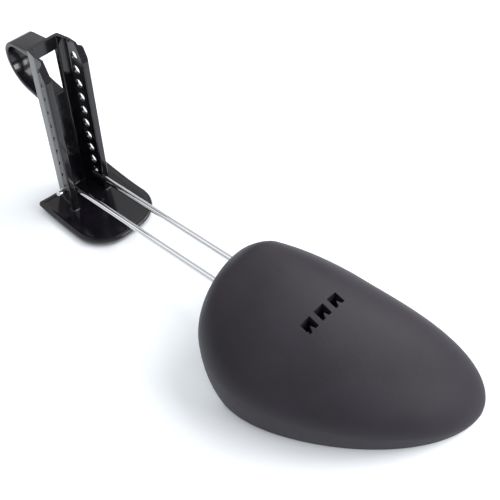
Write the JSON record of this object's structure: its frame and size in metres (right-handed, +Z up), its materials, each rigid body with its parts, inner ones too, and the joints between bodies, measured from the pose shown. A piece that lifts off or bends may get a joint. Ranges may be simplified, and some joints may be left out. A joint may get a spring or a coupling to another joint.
{
  "type": "shoe stretcher",
  "caption": "Shoe tree with a hollow vented toe piece, a spring wire hairpin and a folding channel lever with a heel plate and finger loop.",
  "frame": {"origin": "on the floor, in the middle of the flat seat under the heel plate", "axes": "+X from heel to toe along the shoe, +Y to the big-toe side of a right shoe, +Z up"},
  "size_m": [0.2586, 0.088, 0.093],
  "materials": {
    "toe_plastic": "matt charcoal, fine grain",
    "screw_steel": "bright zinc plate",
    "wire_chrome": "bright chrome plate",
    "lever_plastic": "gloss black"
  },
  "bodies": {
    "toe": {"toe_shell": "toe_plastic", "rod_keeper": "toe_plastic", "keeper_screws": "screw_steel"},
    "rods": {"twin_rod": "wire_chrome"},
    "lever": {"lever_channel": "lever_plastic", "finger_loop": "lever_plastic", "heel_plate": "lever_plastic"}
  },
  "joints": [
    {"name": "toe_rock", "type": "hinge", "parent": "toe", "child": "rods", "pos_m": [0.12052, 0, 0.02583], "axis": [0, 1, 0], "range_deg": [-15, 15]},
    {"name": "lever_fold", "type": "hinge", "parent": "rods", "child": "lever", "pos_m": [-0.0135, 0, 0.0134], "axis": [0, 1, 0], "range_deg": [-15, 86]}
  ]
}
